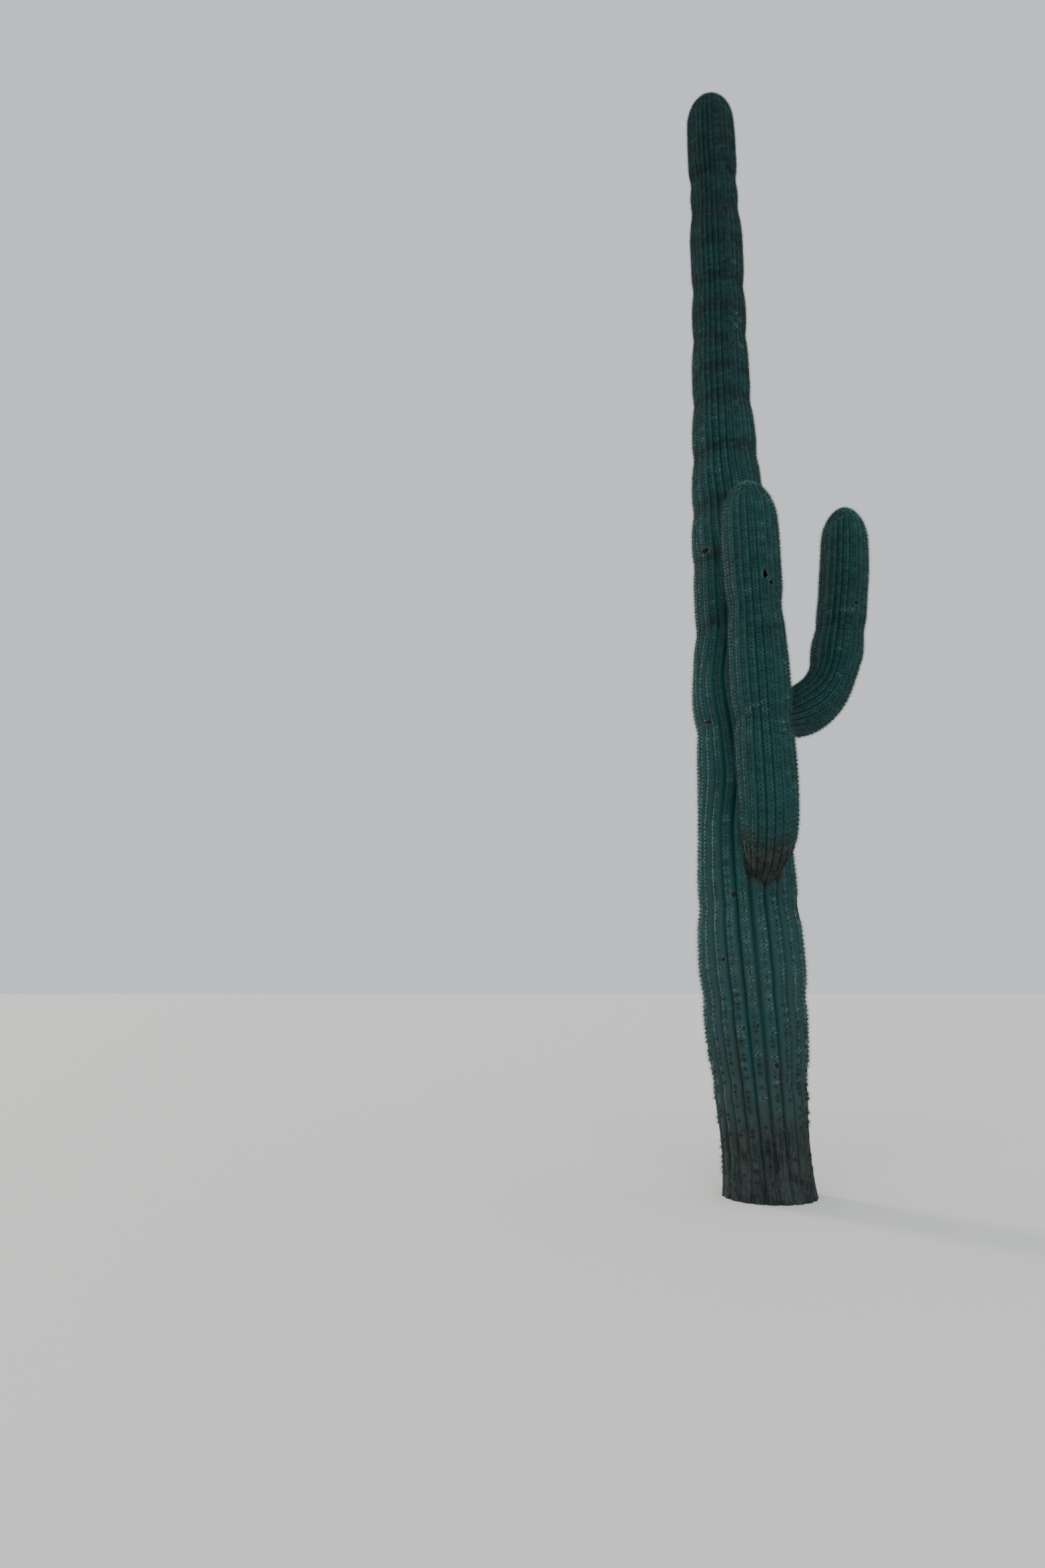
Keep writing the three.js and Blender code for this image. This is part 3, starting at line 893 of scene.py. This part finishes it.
spineLook = {
    "pale": tint(114, 158, 153), "grey": tint(66, 116, 114), "dull": tint(36, 83, 82),
    "brown": tint(34, 61, 60), "dark": tint(19, 34, 33),
    "felt": tint(38, 58, 53), "feltDark": tint(27, 42, 40), "wool": tint(106, 126, 116),
    "worn": 0.6, "woolWorn": 0.65, "mottled": (0.35, 0.7),  # the darker shade, where it shows
    "grain": (120, 2), "rough": 0.5, "gloss": 0.3,
    "tufts": (900, 3), "clumps": (160, 3), "feltRough": 0.85, "feltRelief": 0.0012,
}


def shade(colour, share):  # the same colour, darker
    return (*(share * value for value in colour[:3]), 1)


def makeSpineFinish(name, colour):
    finish = Finish(name)
    weather = finish.speckle(*spineLook["grain"])
    mottle = finish.between(weather, *spineLook["mottled"])
    finish.feed("Base Color", finish.blend(mottle, shade(colour, spineLook["worn"]), colour))
    finish.feed("Roughness", spineLook["rough"] + 0.2 * weather)
    finish.feed("Specular IOR Level", spineLook["gloss"])
    return finish.material


def makeFeltFinish(name, colour, worn):
    finish = Finish(name)
    tufts = finish.speckle(*spineLook["tufts"])
    clumps = finish.speckle(*spineLook["clumps"])
    mottle = finish.between(clumps, *spineLook["mottled"])
    finish.feed("Base Color", finish.blend(mottle, shade(colour, worn), colour))
    finish.feed("Roughness", spineLook["feltRough"] + 0.1 * clumps)
    finish.bump(tufts, spineLook["feltRelief"])
    return finish.material


def give(piece, *materials):
    for material in materials:
        piece.data.materials.append(material)


skinFinish = makeSkinFinish()
spineFinishes = [makeSpineFinish("spine_" + name, spineLook[name])
                 for name in ("pale", "grey", "dull", "brown", "dark")]
feltFinishes = [makeFeltFinish("areole_" + name, spineLook[name], spineLook["worn"])
                for name in ("felt", "feltDark")]
woolFinish = makeFeltFinish("crown_wool", spineLook["wool"], spineLook["woolWorn"])
print("materials ready")

# The solids that each skin replaces, and the stretches whose spines are a piece each
stands = {
    "trunk": ["trunk"], "front_arm": ["front_arm_foot", "front_arm_column"],
    "right_arm": ["right_arm_foot", "right_arm_column"],
}
stretches = {
    "trunk": [("low", 0, 3.1), ("middle", 3.1, 5.7), ("high", 5.7, 9)],
    "front_arm": [("", 0, 9)], "right_arm": [("", 0, 9)],
}


def dress(stem):
    name = stem["name"]
    body = makeSkin(stem)
    give(body, skinFinish)
    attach(body, "root")
    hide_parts(*stands[name])
    spots = layAreoles(stem)
    pads = makePads(name + "_felt", spots)
    give(pads, *feltFinishes)
    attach(pads, "root")
    wool = makeCrown(stem)
    give(wool, woolFinish)
    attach(wool, "root")
    for word, low, high in stretches[name]:
        part = partOf(spots, low, high)
        for kind in ("fine", "stout"):
            title = "_".join(filter(None, (name, word, kind, "spines")))
            spines = makeSpines(title, part, kind)
            give(spines, *spineFinishes)
            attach(spines, "root")
            print(title, "has", len(spines.data.polygons), "faces")


for stem in stems:
    dress(stem)

# Floor, light and camera
studio = {
    "floorSize": 400, "floor": tint(222, 222, 218), "floorRough": 0.9,
    "sky": tint(226, 230, 234), "skyLight": 1.0,
    "cameraAt": (-1.568, -7.0, 1.30), "cameraRise": 11,  # the rise in degrees
    "lens": 24, "sensor": 36, "farthest": 500,
    "suns": [  # name, shines from, strength, softness in degrees, colour
        ("soft_key", (-1.5, -7, 6.5), 1.2, 50, (0.96, 0.99, 1.0)),
        ("warm_rim", (-7, 8, 3.2), 1.7, 14, (1.0, 0.88, 0.76)),
    ],
}


def makeStudio():
    bpy.ops.object.select_all(action="DESELECT")
    bpy.ops.mesh.primitive_plane_add(size=studio["floorSize"])
    floor = bpy.context.object
    floor.name = "floor"
    finish = Finish("pale_floor")
    finish.feed("Base Color", studio["floor"])
    finish.feed("Roughness", studio["floorRough"])
    give(floor, finish.material)
    world = bpy.data.worlds.new("studio")
    world.use_nodes = True
    sky = world.node_tree.nodes["Background"]
    sky.inputs["Color"].default_value = studio["sky"]
    sky.inputs["Strength"].default_value = studio["skyLight"]
    bpy.context.scene.world = world
    for name, place, power, softness, colour in studio["suns"]:
        bpy.ops.object.light_add(type="SUN", location=place)
        sun = bpy.context.object
        sun.name = name
        sun.data.energy = power
        sun.data.angle = math.radians(softness)
        sun.data.color = colour
        sun.rotation_euler = (-sun.location).to_track_quat("-Z", "Y").to_euler()
    bpy.ops.object.camera_add(location=studio["cameraAt"])
    camera = bpy.context.object
    camera.rotation_euler = (math.radians(90 + studio["cameraRise"]), 0, 0)
    camera.data.lens = studio["lens"]
    camera.data.sensor_width = studio["sensor"]
    camera.data.clip_end = studio["farthest"]
    bpy.context.scene.camera = camera


makeStudio()
print("studio ready")
